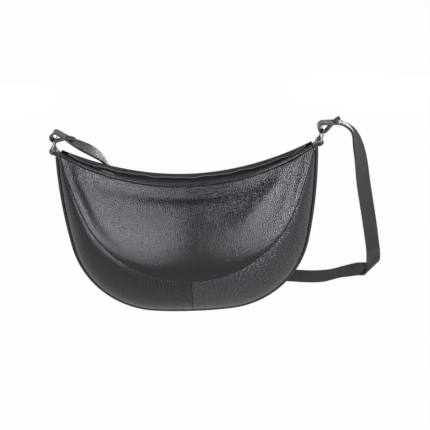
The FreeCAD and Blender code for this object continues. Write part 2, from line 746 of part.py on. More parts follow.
def strap():
    across = V(0, 1, 0)
    straight = V(STRAP_THICKNESS, 0, 0)
    stations = [(RIGHT_START, across), (RIGHT_START + straight, across)]
    stations += [(on_the_way(RIGHT_START, FOLD_START, *shares), side) for shares, side in STRAP_DOWN]
    stations += [(FOLD_START, V(1, 0.1, 0)), *strap_fold()]
    stations += [(on_the_way(FOLD_START, LEFT_END, *shares), side) for shares, side in STRAP_BACK]
    stations += [(LEFT_END + drooped(straight), -across), (LEFT_END, -across)]
    faces = ribbon(stations)
    for centre, joint, droop in ((RIGHT_LOOP, RIGHT_START, 0.0), (LEFT_LOOP, LEFT_END, LEFT_DROOP)):
        loop = ribbon_end(centre)
        loop.rotate(centre, V(0, 1, 0), droop)
        faces += [face for face in loop.Faces if (face.CenterOfMass - joint).Length > TOUCH]
    return sewn(faces)


def flipped(shape):
    return shape.mirror(V(0, 0, 0), V(1, 0, 0))


PARTS = {
    "front_panel": front_panel,
    "back_panel": back_panel,
    "front_band_left": band(FRONT, (-1.0, -MIDDLE_GAP)),
    "front_band_right": band(FRONT, (MIDDLE_GAP, 1.0)),
    "back_band_left": band(BACK, (-1.0, -MIDDLE_GAP)),
    "back_band_right": band(BACK, (MIDDLE_GAP, 1.0)),
    "piping": piping(),
    "mouth_facing_front": mouth_facing(FRONT),
    "mouth_facing_back": mouth_facing(BACK),
    "lining_front": lining(FRONT),
    "lining_back": lining(BACK),
    "zip_tape_front": zip_tape(FRONT),
    "zip_tape_back": zip_tape(BACK),
    "zip_coil_front": zip_coil(FRONT),
    "zip_coil_back": zip_coil(BACK),
    "zip_stops": zip_stops(),
    "zip_slider": zip_slider(),
    "zip_pull": zip_pull(),
    "ring_tab_right": ring_tab(),
    "ring_tab_left": flipped(ring_tab()),
    "ring_right": ring(RING_PIVOT),
    "ring_left": ring(mirrored(RING_PIVOT)),
    "strap": strap(),
}

os.makedirs("parts", exist_ok=True)
for name, shape in PARTS.items():
    shape.exportStep(f"parts/{name}.step")
    box = shape.optimalBoundingBox()
    print(name, shape.isValid(), len(shape.Solids), round(shape.Volume), len(shape.Faces),
          [round(c, 1) for c in (box.XMin, box.XMax, box.YMin, box.YMax, box.ZMin, box.ZMax)])
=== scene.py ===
import math

import bpy
import numpy as np
from mathutils import Matrix


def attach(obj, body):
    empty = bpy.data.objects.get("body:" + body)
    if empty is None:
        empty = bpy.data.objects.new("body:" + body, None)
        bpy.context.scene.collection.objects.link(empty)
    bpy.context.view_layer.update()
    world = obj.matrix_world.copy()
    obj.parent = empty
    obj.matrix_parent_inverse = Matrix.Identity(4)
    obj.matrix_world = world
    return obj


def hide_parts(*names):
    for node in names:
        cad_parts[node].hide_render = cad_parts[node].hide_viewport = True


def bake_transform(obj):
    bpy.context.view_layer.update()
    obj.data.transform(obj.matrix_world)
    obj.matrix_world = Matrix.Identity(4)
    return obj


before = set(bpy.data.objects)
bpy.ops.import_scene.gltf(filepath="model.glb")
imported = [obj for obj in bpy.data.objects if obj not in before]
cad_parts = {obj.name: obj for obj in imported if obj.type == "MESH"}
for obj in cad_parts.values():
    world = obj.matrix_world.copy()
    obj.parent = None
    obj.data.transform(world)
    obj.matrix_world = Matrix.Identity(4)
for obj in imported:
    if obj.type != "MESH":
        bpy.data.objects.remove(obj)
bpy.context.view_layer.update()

# Leather sides.
# The bag is cut from soft black pebbled cowhide: on each side an upper crescent and a lower band in two
# halves. They are sewn edge to edge with the edges turned in, and the filled bag sags between its seams.

# Everything is drawn in millimetres, in the frame of the solids, and laid down in metres by piece()
MM = 0.001
FRONT, BACK = -1, 1
SIDES = ((FRONT, "front"), (BACK, "back"))

# The outer seam on the right half: arcs as centre x, centre z, radius, and angles from straight down
SEAM_ARCS = (
    (0.0, 598.7, 597.0, 0.0, 5.0),
    (41.581, 123.424, 119.908, 5.0, 78.3),
    (-478.088, 231.042, 650.604, 78.3, 89.6),
)
SEAM_LENGTH = sum(radius * math.radians(last - first) for _, _, radius, first, last in SEAM_ARCS)
# The mouth is an arc between its corners, seen from the front
MOUTH_CORNER = 166.5
MOUTH_RADIUS = 340.397
MOUTH_CENTRE = 531.397
# Half depths of the mouth and the belly: at the corners, how much more in the middle, and how full between
MOUTH_DEPTH = (10.0, 15.0, 3)
BELLY_DEPTH = (11.0, 34.0, 2.3)
BELLY_AT = 0.56
ROUNDNESS = {FRONT: 1.65, BACK: 3.0}
# A layer is its depth under the outside, its inset from the outer seam and its half gap there
OUTSIDE = (0.0, 2.1, 2.4)
LEATHER = 1.5
# The seam between crescent and band, as a share of the way down: at the sides, and how much lower in the middle
YOKE_SIDES, YOKE_DIP, YOKE_REACH = 0.603, 0.097, 0.28
# The back settles on the floor behind the outer seam
REST_DROP, REST_DIP, REST_SOFTNESS = 12.0, 1.22, 4.0
REST_AT, REST_SPREAD, REST_REACH, REST_SEAM_POWER = 0.88, 0.17, 0.26, 40


def seam_line(u, inset=0.0):
    """X and Z along the outer seam, from u = -1 at the left corner to 1 at the right."""
    run = np.abs(u) * SEAM_LENGTH
    x, z, passed = np.zeros_like(run), np.zeros_like(run), 0.0
    for centre_x, centre_z, radius, first, last in SEAM_ARCS:
        angle = math.radians(first) + (run - passed) / radius
        here = run >= passed - 1e-9
        x = np.where(here, centre_x + (radius - inset) * np.sin(angle), x)
        z = np.where(here, centre_z - (radius - inset) * np.cos(angle), z)
        passed += radius * math.radians(last - first)
    return np.copysign(x, u), z


def mouth_line(u):
    x = MOUTH_CORNER * u
    return x, MOUTH_CENTRE - np.sqrt(MOUTH_RADIUS**2 - x**2)


def below_mouth(u, drop, inset=0.0):
    """How far from mouth to seam a point lies that is this far below the mouth edge."""
    mx, mz = mouth_line(u)
    sx, sz = seam_line(u, inset)
    dx, dz = sx - mx, sz - mz
    along = mx * dx + (mz - MOUTH_CENTRE) * dz
    square = dx * dx + dz * dz
    grown = (MOUTH_RADIUS + drop) ** 2 - MOUTH_RADIUS**2
    return (np.sqrt(along**2 + square * grown) - along) / square


def yoke(u):
    return YOKE_SIDES + YOKE_DIP * np.exp(-((u / YOKE_REACH) ** 2))


def rows_to_shares(side, rows):
    """Even rows from 0 at the mouth to 1 at the seam, as shares v of the way down."""
    turn = np.clip(rows - 0.5, 0.0, 0.5) * math.pi
    past = np.sin(turn) ** (2 / ROUNDNESS[side])
    return np.where(rows < 0.5, BELLY_AT * rows / 0.5, BELLY_AT + (1 - BELLY_AT) * past)


def shares_to_rows(side, v):
    past = np.clip((v - BELLY_AT) / (1 - BELLY_AT), 0.0, 1.0)
    turn = np.arcsin(past ** (ROUNDNESS[side] / 2))
    return np.where(v < BELLY_AT, 0.5 * v / BELLY_AT, 0.5 + turn / math.pi)


def rest_shift(u, v):
    """How far the back settles towards the floor, behind the outer seam."""
    past = np.clip((v - BELLY_AT) / (1 - BELLY_AT), 0.0, 1.0)
    share = np.exp(-(((past - REST_AT) / REST_SPREAD) ** 2) - (u / REST_REACH) ** 2) * (1 - past**REST_SEAM_POWER)
    mouth_z = mouth_line(u)[1]
    z = mouth_z + v * (seam_line(u)[1] - mouth_z)
    lowered = z - REST_DROP * share
    return 0.5 * (lowered + np.hypot(lowered, REST_SOFTNESS * share)) - REST_DIP * share - z


def bump(at, centre, reach):
    """A soft hump of height 1."""
    return np.exp(-(((at - centre) / reach) ** 2))


def relief(side, u, v):
    """Hollows and swellings of the stuffed leather, outwards in millimetres."""
    mx, mz = mouth_line(u)
    sx, sz = seam_line(u)
    length = np.hypot(sx - mx, sz - mz)
    down, above_yoke = v * length, (yoke(u) - v) * length
    inner = 1 - np.abs(u) ** 6
    moved = -1.5 * bump(down, 17.0, 8.0) * bump(u, 0.05, 0.7) * inner
    if side == FRONT:
        moved = moved - 2.0 * bump(above_yoke, 8.0, 11.0) * bump(u, -0.68, 0.27)
        moved = moved - 1.5 * bump(above_yoke, 7.0, 8.0) * bump(u, 0.78, 0.18)
        moved = moved + 5.0 * bump(u, -0.02, 0.44) * bump(v, 0.45, 0.3)
        moved = moved + 1.6 * bump(v, 0.42 - 0.36 * u, 0.09) * bump(u, 0.52, 0.26)
    else:
        moved = moved - 1.8 * bump(above_yoke, 14.0, 8.5) * bump(np.abs(u), 0.66, 0.25)
        moved = moved + 1.8 * bump(u, 0.35, 0.24) * bump(v, 0.33, 0.16)
        moved = moved - 1.5 * bump(u, -0.05, 0.2) * bump(v, 0.2, 0.1)
    held_by_mouth = np.clip(down / 6.0, 0, 1)
    return moved * held_by_mouth


# How each side has sagged, once it has been hung
sag = {}


def cubic(shares):
    """The four weights of a smooth curve between grid points."""
    return ((1 - shares) ** 3 / 6, (3 * shares**3 - 6 * shares**2 + 4) / 6,
            (-3 * shares**3 + 3 * shares**2 + 3 * shares + 1) / 6, shares**3 / 6)


def sagged(side, u, v):
    """The cloth's settled movement at any point, read smoothly from its grid."""
    grid = sag[side]
    across, down = grid.shape[0] - 1, grid.shape[1] - 1
    at_x = np.clip((u + 1) / 2, 0, 1) * across
    at_y = np.clip(shares_to_rows(side, v), 0, 1) * down
    ix, iy = np.minimum(at_x.astype(int), across - 1), np.minimum(at_y.astype(int), down - 1)
    moved = 0.0
    for i, weight_x in enumerate(cubic(at_x - ix)):
        for j, weight_y in enumerate(cubic(at_y - iy)):
            near = grid[np.clip(ix + i - 1, 0, across), np.clip(iy + j - 1, 0, down)]
            moved = moved + near * (weight_x * weight_y)[..., None]
    return moved


def half_depth(measures, u):
    corner, more, fullness = measures
    return corner + more * (1 - np.abs(u) ** fullness)


def skin(side, u, v, layer=OUTSIDE):
    """Points on a side of the bag, u of the way to a corner and v of the way down, on one of its layers."""
    depth, seam_inset, seam_gap = layer
    u, v = np.broadcast_arrays(np.asarray(u, float), np.asarray(v, float))
    mx, mz = mouth_line(u)
    sx, sz = seam_line(u, seam_inset)
    mouth = half_depth(MOUTH_DEPTH, u) - depth
    belly = half_depth(BELLY_DEPTH, u) - depth
    power = ROUNDNESS[side]
    past = np.clip((v - BELLY_AT) / (1 - BELLY_AT), 0.0, 1.0)
    upper = mouth + (belly - mouth) * np.sin(math.pi / 2 * np.minimum(v / BELLY_AT, 1.0))
    lower = seam_gap + (belly - seam_gap) * np.maximum(0.0, 1 - past**power) ** (1 / power)
    z = mz + v * (sz - mz)
    if side == BACK:
        z = z + rest_shift(u, v)
    y = np.where(v < BELLY_AT, upper, lower) + relief(side, u, v)
    points = np.stack([mx + v * (sx - mx), side * y, z], axis=-1)
    if side in sag:
        points = points + sagged(side, u, v)
        above_floor = 0.1
        points[..., 2] = np.maximum(points[..., 2], above_floor)
    return points


def grid_faces(columns, rows, first=0, flip=False):
    """Quads over a grid of points that is stored column by column."""
    faces = []
    for i in range(columns - 1):
        for j in range(rows - 1):
            a = first + i * rows + j
            quad = (a, a + rows, a + rows + 1, a + 1)
            faces.append(quad[::-1] if flip else quad)
    return faces


def put(name, data):
    """A new object, linked into the scene."""
    made = bpy.data.objects.new(name, data)
    bpy.context.scene.collection.objects.link(made)
    return made


def piece(name, points, faces, finish):
    """A mesh object at the origin, from points in millimetres."""
    mesh = bpy.data.meshes.new(name)
    mesh.from_pydata((np.asarray(points, float).reshape(-1, 3) * MM).tolist(), [], faces)
    mesh.materials.append(finish)
    mesh.polygons.foreach_set("use_smooth", [True] * len(mesh.polygons))
    return put(name, mesh)


def settle(side):
    """Hangs one side of the bag, held along the mouth and the outer seam, and keeps how it moved."""
    columns, rows, furthest, frames, smoothings = 97, 49, 5.0, 24, 120
    u = np.linspace(-1, 1, columns)[:, None]
    v = rows_to_shares(side, np.linspace(0, 1, rows))[None, :]
    rest = skin(side, u, v)
    hung = piece("hung_side", rest, grid_faces(columns, rows, flip=side == FRONT), None)
    held = hung.vertex_groups.new(name="sewn")
    edge = [i * rows + j for i in range(columns) for j in range(rows)
            if i in (0, columns - 1) or j in (0, rows - 1)]
    held.add(edge, 1.0, "REPLACE")
    cloth = hung.modifiers.new("Cloth", "CLOTH")
    hide = cloth.settings
    hide.quality = 6
    hide.mass = 0.3
    hide.effector_weights.gravity = 0.05
    hide.tension_stiffness = 25.0
    hide.compression_stiffness = 10.0
    hide.shear_stiffness = 10.0
    hide.bending_stiffness = 4.0
    hide.vertex_group_mass = "sewn"
    hide.shrink_min = -0.01
    hide.use_pressure = True
    hide.uniform_pressure_force = 2.0
    cloth.collision_settings.use_collision = False
    cloth.point_cache.frame_end = frames
    for step in range(1, frames + 1):
        bpy.context.scene.frame_set(step)
    settled = hung.evaluated_get(bpy.context.evaluated_depsgraph_get())
    now = np.empty(columns * rows * 3)
    settled.data.vertices.foreach_get("co", now)
    moved = now.reshape(columns, rows, 3) / MM - rest
    # Leather is too stiff for the small ripples of a cloth, so only the broad sag is kept
    for _ in range(smoothings):
        inner = moved[1:-1, 1:-1]
        around = moved[:-2, 1:-1] + moved[2:, 1:-1] + moved[1:-1, :-2] + moved[1:-1, 2:]
        moved[1:-1, 1:-1] = 0.5 * inner + 0.125 * around
    length = np.linalg.norm(moved, axis=-1, keepdims=True)
    moved *= furthest * np.tanh(length / furthest) / np.maximum(length, 1e-9)
    fades_to_seam = np.clip((1 - np.linspace(0, 1, rows)) / 0.3, 0, 1)
    moved *= fades_to_seam[None, :, None]
    bpy.data.objects.remove(hung)
    bpy.context.scene.frame_set(1)
    return moved


sag.update({side: settle(side) for side, _ in SIDES})


def colour(code):
    """An sRGB hex colour as linear light."""
    parts = [int(code[i:i + 2], 16) / 255 for i in (1, 3, 5)]
    return [c / 12.92 if c <= 0.04045 else ((c + 0.055) / 1.055) ** 2.4 for c in parts] + [1.0]


def add(tree, kind, inputs=None, **settings):
    """Adds a node with its settings; an input is a value, or a socket to link to."""
    made = tree.nodes.new(kind)
    for name, value in settings.items():
        setattr(made, name, value)
    for name, value in (inputs or {}).items():
        if isinstance(value, bpy.types.NodeSocket):
            tree.links.new(value, made.inputs[name])
        else:
            made.inputs[name].default_value = value
    return made


def finish(name, **inputs):
    """A new material with one surface shader, whose sockets are set by name, and its Object coordinates."""
    made = bpy.data.materials.new(name)
    made.use_nodes = True
    tree = made.node_tree
    tree.nodes.clear()
    shader = add(tree, "ShaderNodeBsdfPrincipled", {key.replace("_", " "): value for key, value in inputs.items()})
    add(tree, "ShaderNodeOutputMaterial", {"Surface": shader.outputs[0]})
    return made, tree, shader, add(tree, "ShaderNodeTexCoord").outputs["Object"]


def noise(tree, place, size, detail):
    """Cloudy light and dark; size in millimetres."""
    return add(tree, "ShaderNodeTexNoise", {"Vector": place, "Scale": 1 / (size * MM), "Detail": detail}).outputs[0]


def waves(tree, place, pitch, distortion, direction):
    """Even ribs; pitch in millimetres."""
    pitch_at_scale_1 = 0.31
    return add(tree, "ShaderNodeTexWave", {"Vector": place, "Scale": pitch_at_scale_1 / (pitch * MM),
               "Distortion": distortion}, bands_direction=direction).outputs[1]


def scaled(tree, value, factor, plus):
    """A value times a factor, plus another."""
    return add(tree, "ShaderNodeMath", {0: value, 1: factor, 2: plus}, operation="MULTIPLY_ADD").outputs[0]


def two_tone(tree, shader, share, dark, light):
    """Colours a surface from one tone to another."""
    paint = add(tree, "ShaderNodeMix", {0: share, 6: colour(dark), 7: colour(light)}, data_type="RGBA")
    tree.links.new(paint.outputs[2], shader.inputs["Base Color"])


def emboss(tree, shader, height, depth):
    """Raises a surface by its pattern; depth in millimetres."""
    raised = add(tree, "ShaderNodeBump", {"Height": height, "Distance": depth * MM, "Strength": 1.0})
    tree.links.new(raised.outputs[0], shader.inputs["Normal"])


def leather(name, crease_shade, top, pebble, depth, roughness, lie=0.0, stretch=1.0, strip=""):
    """Tumbled cowhide: rounded pebbles with dull creases between them, painted darker as painted shade, under a satin
    top coat.
    Where the hide is pulled over an edge the pebbles are drawn out along lie, in degrees above level; on a
    strip they follow its own map."""
    made, tree, shader, place = finish(name, IOR=1.5)
    if strip:
        laid = add(tree, "ShaderNodeUVMap", uv_map=strip)
    else:
        # Laid out flat: part of a side's depth counts as height and as width
        half_bag, turned_out = 165 * MM, 0.75
        where = add(tree, "ShaderNodeSeparateXYZ", {"Vector": place})
        inward = add(tree, "ShaderNodeMath", {0: where.outputs["Y"]}, operation="ABSOLUTE")
        hand = add(tree, "ShaderNodeMapRange", {"Value": where.outputs["X"], "From Min": -half_bag,
                   "From Max": half_bag, "To Min": turned_out, "To Max": -turned_out})
        aside = scaled(tree, inward.outputs[0], hand.outputs[0], where.outputs["X"])
        upward = scaled(tree, inward.outputs[0], turned_out, where.outputs["Z"])
        laid = add(tree, "ShaderNodeCombineXYZ", {"X": aside, "Y": upward})
    turned = add(tree, "ShaderNodeMapping", {"Vector": laid.outputs[0], "Rotation": (0, 0, -math.radians(lie))})
    drawn = add(tree, "ShaderNodeMapping", {"Vector": turned.outputs[0], "Scale": (1 / stretch, 1.0, 1.0)}).outputs[0]
    drift = add(tree, "ShaderNodeTexNoise", {"Vector": drawn, "Scale": 1 / (3 * pebble * MM), "Detail": 1.0})
    swing = add(tree, "ShaderNodeVectorMath", {0: drift.outputs["Color"], 1: (-0.5, -0.5, -0.5)}, operation="ADD")
    bent = add(tree, "ShaderNodeVectorMath", {0: swing.outputs[0], 1: [0.7 * pebble * MM] * 3, 2: drawn},
               operation="MULTIPLY_ADD")
    cells = add(tree, "ShaderNodeTexVoronoi", {"Vector": bent.outputs[0], "Scale": 1 / (pebble * MM),
                "Randomness": 0.95}, voronoi_dimensions="2D", feature="DISTANCE_TO_EDGE")
    # The creases are narrow, with painted shade darkening their colour, and each pebble is round to its middle
    height, dome = (
        add(tree, "ShaderNodeMapRange", {"Value": cells.outputs["Distance"], "From Min": 0.0, "From Max": reach},
            interpolation_type="SMOOTHSTEP").outputs[0] for reach in (0.2, 0.42))
    fine = noise(tree, place, 0.4 * pebble, 2.0)
    broad = noise(tree, place, 14 * pebble, 2.0)
    emboss(tree, shader, scaled(tree, fine, 0.15, dome), depth)
    worn = scaled(tree, broad, -0.12, roughness + 0.06)
    dull = scaled(tree, height, -0.2, 0.2)
    gloss = add(tree, "ShaderNodeMath", {0: worn, 1: dull}, operation="ADD")
    tree.links.new(gloss.outputs[0], shader.inputs["Roughness"])
    tree.links.new(scaled(tree, height, 0.36, 0.13), shader.inputs["Specular IOR Level"])
    # Painted shade: the colour darkens from the pebble tops into the creases, with a cloudy tone laid over it
    two_tone(tree, shader, scaled(tree, broad, 0.4, height), crease_shade, top)
    return made


# The crescents have an even round grain; over the lower edge the hide is pulled and its grain lies in lines
pebbled_leather = leather("pebbled_cowhide", "#0a0a0b", "#171719", 2.3, 0.08, 0.16)
drawn_leather = {
    "left": leather("drawn_cowhide_left", "#0c0c0e", "#1c1c1e", 2.2, 0.1, 0.26, 14.0, 1.5),
    # The right band's top tone is painted lighter than the left's, as painted light falling on that side
    "right": leather("drawn_cowhide_right_painted_lighter", "#0c0c0e", "#353538", 2.5, 0.26, 0.24, -17.0, 2.0),
}


def unit(vectors):
    return vectors / np.linalg.norm(vectors, axis=-1, keepdims=True)


def rolled(distance, radius):
    """How far a turned edge has dropped at a distance from its fold."""
    rest = radius - np.minimum(distance, radius)
    return radius - np.sqrt(np.maximum(radius**2 - rest**2, 0.0))


NEAR_EDGE = np.array([0.0, 0.1, 0.3, 0.6, 1.0, 1.5, 2.1, 2.6, 3.1, 3.6, 4.2, 5.2])


def spread(length, count):
    """Distances along a line: close together at both ends, even between them."""
    near = NEAR_EDGE * min(1.0, length / (3 * NEAR_EDGE[-1]))
    inner = np.linspace(near[-1], length - near[-1], count + 2)[1:-1]
    return np.concatenate([near, inner, length - near[::-1]])


def run_along(points, axis=0):
    """The way gone along lines of points, at each point."""
    steps = np.linalg.norm(np.diff(points, axis=axis), axis=-1).cumsum(axis=axis)
    return np.insert(steps, 0, 0.0, axis=axis)


# The stitched line below the mouth
STITCH_DROP = 3.1


def leather_sheet(name, side, ends, rims, folds, layer=OUTSIDE, thick=LEATHER, spacing=2.6, groove=0.0, tuck=0.0,
                  material=None):
    """A closed sheet between two values of u and two rims; folds are the edge radii at its left, right, top and
    bottom, groove is the depth of a stitched line below its top edge, and tuck how far that edge goes under."""
    reach = (ends[1] - ends[0]) * 0.5 * (SEAM_LENGTH + MOUTH_CORNER)
    u = ends[0] + (ends[1] - ends[0]) * spread(reach, int(reach / spacing)) / reach
    fine = np.linspace(0.0, 1.0, 401)
    first, last = rims(u)
    row_first, row_last = shares_to_rows(side, first), shares_to_rows(side, last)
    dense_v = rows_to_shares(side, row_first[:, None] + (row_last - row_first)[:, None] * fine)
    dense = skin(side, u[:, None], dense_v, layer)
    runs = run_along(dense, axis=1)
    count = int(runs[:, -1].max() / spacing)
    stations = [spread(run[-1], count) for run in runs]
    v = np.array([np.interp(at, run, share) for at, run, share in zip(stations, runs, dense_v)])
    points = skin(side, u[:, None], v, layer)
    along, down = np.gradient(points, axis=0), np.gradient(points, axis=1)
    normal = np.cross(along, down) * side
    normal /= np.maximum(np.linalg.norm(normal, axis=-1, keepdims=True), 1e-9)
    across = run_along(points)
    below = np.array(stations)
    distances = (across, across[-1] - across, below, below[:, -1:] - below)
    sunk = np.zeros_like(v)
    for distance, radius in zip(distances, folds):
        if radius:
            pulled_in = 0.45 * np.exp(-distance / 4.0)
            sunk = np.maximum(sunk, rolled(distance, radius) + pulled_in)
    sunk = sunk + groove * bump(below, STITCH_DROP, 0.7) + tuck * np.exp(-((below / 5.0) ** 2))
    outer = points - normal * sunk[..., None]
    inner = points - normal * thick
    columns, rows = v.shape
    total = columns * rows
    faces = grid_faces(columns, rows, flip=side == FRONT) + grid_faces(columns, rows, total, flip=side == BACK)
    edge = [i * rows for i in range(columns)] + [(columns - 1) * rows + j for j in range(1, rows)]
    edge += [i * rows + rows - 1 for i in range(columns - 2, -1, -1)] + [j for j in range(rows - 2, 0, -1)]
    for a, b in zip(edge, edge[1:] + edge[:1]):
        quad = (a, a + total, b + total, b)
        faces.append(quad if side == BACK else quad[::-1])
    both_faces = np.concatenate([outer.reshape(-1, 3), inner.reshape(-1, 3)])
    return piece(name, both_faces, faces, material or pebbled_leather)


# Half the gap between two sewn edges, as a share of a side's height
seam_half = 0.05 / 190
for side, word in SIDES:
    panel = leather_sheet(f"{word}_crescent", side, (-1.0, 1.0), lambda u: (0 * u, yoke(u) - seam_half),
                          (2.2, 2.2, 1.3, 0.9), groove=0.5)
    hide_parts(f"{word}_panel")
    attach(panel, "bag")
    for hand, ends in (("left", (-1.0, -seam_half)), ("right", (seam_half, 1.0))):
        folds = (2.2, 1.0, 0.9, 0.9) if hand == "left" else (1.0, 2.2, 0.9, 0.9)
        band = leather_sheet(f"{word}_base_{hand}", side, ends, lambda u: (yoke(u) + seam_half, 1 + 0 * u), folds,
                             tuck=0.5, material=drawn_leather[hand])
        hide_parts(f"{word}_band_{hand}")
        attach(band, "bag")


# Mouth stitching.
# A row of lockstitch in black polyester thread, 3 mm below each mouth edge, holds the facing to the leather.
# Each stitch is a short rounded length of thread sunk in the row's groove.

def row_tree():
    """Rounded grains set along a line, with their length on the line."""
    tree = bpy.data.node_groups.new("row_along_line", "GeometryNodeTree")
    for name, kind in (("Line", "Geometry"), ("Pitch", "Float"), ("Half Size", "Vector"), ("Finish", "Material")):
        tree.interface.new_socket(name, in_out="INPUT", socket_type="NodeSocket" + kind)
    tree.interface.new_socket("Row", in_out="OUTPUT", socket_type="NodeSocketGeometry")
    given = add(tree, "NodeGroupInput").outputs
    curve = add(tree, "GeometryNodeMeshToCurve", {"Mesh": given["Line"]})
    even = add(tree, "GeometryNodeResampleCurve", {"Curve": curve.outputs[0], "Length": given["Pitch"]}, mode="LENGTH")
    grain = add(tree, "GeometryNodeMeshUVSphere", {"Segments": 8, "Rings": 5, "Radius": 1.0})
    smooth = add(tree, "GeometryNodeSetShadeSmooth", {"Geometry": grain.outputs[0]})
    ahead = add(tree, "GeometryNodeInputTangent").outputs[0]
    lie = add(tree, "FunctionNodeAlignRotationToVector", {"Vector": ahead}, axis="Z")
    row = add(tree, "GeometryNodeInstanceOnPoints", {"Points": even.outputs[0], "Instance": smooth.outputs[0],
              "Rotation": lie.outputs[0], "Scale": given["Half Size"]})
    solid = add(tree, "GeometryNodeRealizeInstances", {"Geometry": row.outputs[0]})
    dressed = add(tree, "GeometryNodeSetMaterial", {"Geometry": solid.outputs[0], "Material": given["Finish"]})
    add(tree, "NodeGroupOutput", {"Row": dressed.outputs[0]})
    return tree


ROW = row_tree()


def keep_result(made):
    """Keeps what an object's modifiers make as its plain mesh."""
    made.data = bpy.data.meshes.new_from_object(made.evaluated_get(bpy.context.evaluated_depsgraph_get()))
    made.modifiers.clear()


def row_along(name, path, pitch, half_size, material):
    """A mesh of grains along a line in millimetres."""
    mesh = bpy.data.meshes.new(name)
    mesh.from_pydata((np.asarray(path) * MM).tolist(), [(i, i + 1) for i in range(len(path) - 1)], [])
    made = put(name, mesh)
    nodes = made.modifiers.new("row", "NODES")
    nodes.node_group = ROW
    inputs = {item.name: item.identifier for item in ROW.interface.items_tree if item.in_out == "INPUT"}
    nodes[inputs["Pitch"]] = pitch * MM
    nodes[inputs["Half Size"]] = [size * MM for size in half_size]
    nodes[inputs["Finish"]] = material
    made.update_tag()
    keep_result(made)
    return made


# Bonded polyester thread: two plies, so a faint slanting light and dark along each stitch, with a slight sheen
black_thread, tree, shader, place = finish("bonded_thread", Roughness=0.55)
plies = add(tree, "ShaderNodeTexWave", {"Vector": place, "Scale": 1 / (1.6 * MM), "Distortion": 1.0},
            bands_direction="DIAGONAL")
two_tone(tree, shader, plies.outputs[1], "#131315", "#2e2e31")

for side, word in SIDES:
    u = np.linspace(-0.965, 0.965, 300)
    line = skin(side, u, below_mouth(u, STITCH_DROP))
    sunk_in_groove = 0.42
    line[:, 1] -= side * sunk_in_groove
    stitches = row_along(f"{word}_mouth_stitches", line, pitch=3.4, half_size=(0.34, 0.34, 1.25),
                         material=black_thread)
    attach(stitches, "bag")


# Piping.
# A cord covered with a bias strip of the same leather, caught in the outer seam from corner to corner.
# The bag stands on it, so it is pressed flat where it meets the floor.

def tube(path, radius, sides, across, closed=False):
    """Rings of points round a path; across is the sideways direction, square to the path's plane."""
    ahead = np.roll(path, -1, axis=0) - np.roll(path, 1, axis=0) if closed else np.gradient(path, axis=0)
    up = np.cross(unit(ahead), across)
    turn = np.linspace(0, 2 * math.pi, sides, endpoint=False)
    radius = np.broadcast_to(radius, len(path))[:, None, None]
    return path[:, None] + radius * (np.cos(turn)[None, :, None] * up[:, None] + np.sin(turn)[None, :, None] * across)


def tube_faces(stations, sides, closed=False):
    """Quads round a tube's rings of points, with a cap at each end unless it is closed on itself."""
    faces = []
    for i in range(stations if closed else stations - 1):
        for j in range(sides):
            a, b = i * sides, (i + 1) % stations * sides
            k = (j + 1) % sides
            faces.append((a + j, a + k, b + k, b + j))
    if not closed:
        faces.append(tuple(range(sides))[::-1])
        faces.append(tuple((stations - 1) * sides + j for j in range(sides)))
    return faces


CORD_RADIUS, CORD_SIDES, CORD_STATIONS = 2.2, 20, 321
piping_u = np.linspace(-1, 1, CORD_STATIONS)
piping_x, piping_z = seam_line(piping_u)
piping_path = np.stack([piping_x, 0 * piping_x, piping_z], axis=-1)
# Each end narrows and runs in under the ring's tab
ends = np.array([[0.0, 0.0, 1.6], [-0.7, 0.0, 3.0], [-1.7, 0.0, 4.2], [-2.9, 0.0, 5.2]])
piping_path = np.concatenate([(piping_path[0] + ends * (-1, 1, 1))[::-1], piping_path, piping_path[-1] + ends])
narrowing = (0.9, 1.5, 1.9, 2.1)
piping_size = np.concatenate([narrowing, np.full(CORD_STATIONS, CORD_RADIUS), narrowing[::-1]])
piping_points = tube(piping_path, piping_size, CORD_SIDES, np.array([0.0, 1.0, 0.0]))
above_floor = 0.02
piping_points[..., 2] = np.maximum(piping_points[..., 2], above_floor)
# The strip's two free edges lie together between front and back, sewn into the seam
bare_stations = 8
seam_path = piping_path[bare_stations:-bare_stations]
inward = unit(np.gradient(seam_path, axis=0)[:, [2, 1, 0]] * (-1, 0, 1))
flange_corners = ((1.4, -0.85), (8.0, -0.85), (8.0, 0.85), (1.4, 0.85))
flange_points = np.stack([seam_path + inward * a + np.array([0, b, 0]) for a, b in flange_corners], axis=1)
# The bias strip is skived thin and pulled tight over the cord, so its grain is finer, flatter and duller; its tone is
# painted a little lighter than the sides', as a painted highlight on the cord's rim
piping_leather = leather("skived_cowhide", "#0f0f10", "#202022", 1.2, 0.04, 0.42)
flange_first = piping_points.size // 3
flange_faces = [tuple(flange_first + i for i in face) for face in tube_faces(len(seam_path), len(flange_corners))]
piping = piece("piping_cord", np.concatenate([piping_points.reshape(-1, 3), flange_points.reshape(-1, 3)]),
               tube_faces(len(piping_path), CORD_SIDES) + flange_faces, piping_leather)
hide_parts("piping")
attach(piping, "bag")


# Mouth facings.
# A narrow strip of the same leather, thinner, sewn inside each mouth edge. The zip's tape is sewn over its
# lower half.

# The inset from the outer seam and the half gap there, for every layer inside the mouth
INSIDE = (2.2, 0.95)
# Split thin for the inside, it is smoother and duller than the outside, and its colour is painted a lighter grey, as
# painted light inside the mouth
facing_leather = leather("split_cowhide", "#303031", "#505052", 1.6, 0.05, 0.5)


def to_corner(u):
    """The share of their depth that the facing and the tape keep as they run out into the corners."""
    narrows_over, least = 0.14, 0.3
    return np.clip((1 - np.abs(u)) / narrows_over, least, 1.0)


for side, word in SIDES:
    facing = leather_sheet(f"{word}_facing", side, (-0.95, 0.95),
                           lambda u: (below_mouth(u, 0.35), below_mouth(u, 13.6 * to_corner(u))),
                           (0, 0, 0.7, 0.5), layer=(1.85, *INSIDE), thick=1.2, material=facing_leather)
    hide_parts(f"mouth_facing_{word}")
    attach(facing, "bag")


# Lining.
# A plain bag of cotton twill inside, hung from the facings and caught in the outer seam.

